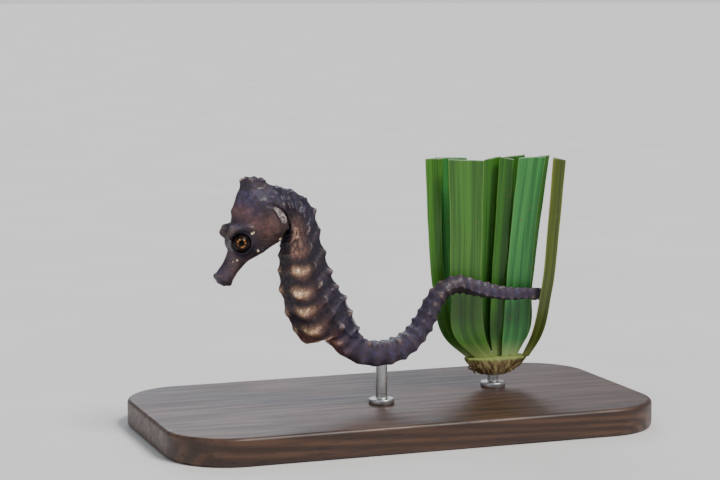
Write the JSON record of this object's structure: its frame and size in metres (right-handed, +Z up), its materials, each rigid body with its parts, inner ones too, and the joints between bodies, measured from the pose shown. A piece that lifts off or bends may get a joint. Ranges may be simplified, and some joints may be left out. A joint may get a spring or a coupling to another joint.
{
  "type": "seahorse model",
  "caption": "Life-size still model of a short-snouted seahorse with its tail round a cut bunch of strap leaves, on a flat base with two short rods.",
  "frame": {"origin": "middle of the underside of the stand's base", "axes": "+Z up, the animal's head towards -X and its left side towards -Y"},
  "size_m": [0.11, 0.058, 0.058],
  "materials": {
    "skin": "dark brown to purple-black bony skin, satin, with gold and lilac flecks on the ridges",
    "eye": "wet black eye with a thin broken gold ring",
    "fin": "thin rayed fin, half clear",
    "leaf": "fresh green strap leaf with fine lengthwise veins, satin",
    "root": "pale fibrous root crown, matte",
    "base": "dark satin wood with rounded edges",
    "rod": "fine brushed steel"
  },
  "bodies": {
    "root": {"snout": "skin", "head": "skin", "coronet": "skin", "eye_left": "eye", "eye_right": "eye", "neck": "skin", "trunk_upper": "skin", "trunk_lower": "skin", "tail_1": "skin", "tail_2": "skin", "tail_3": "skin", "tail_4": "skin", "tail_5": "skin", "tail_6": "skin", "tail_7": "skin", "tail_8": "skin", "tail_9": "skin", "tail_10": "skin", "dorsal_fin": "fin", "anal_fin": "fin", "pectoral_fin_left": "fin", "pectoral_fin_right": "fin", "perch_leaf_a": "leaf", "perch_leaf_b": "leaf", "perch_leaf_c": "leaf", "perch_leaf_d": "leaf", "perch_leaf_e": "leaf", "perch_leaf_f": "leaf", "perch_leaf_g": "leaf", "perch_leaf_h": "leaf", "perch_leaf_i": "leaf", "perch_crown": "root", "stand_base": "base", "stand_rod_body": "rod", "stand_rod_perch": "rod"}
  },
  "joints": []
}
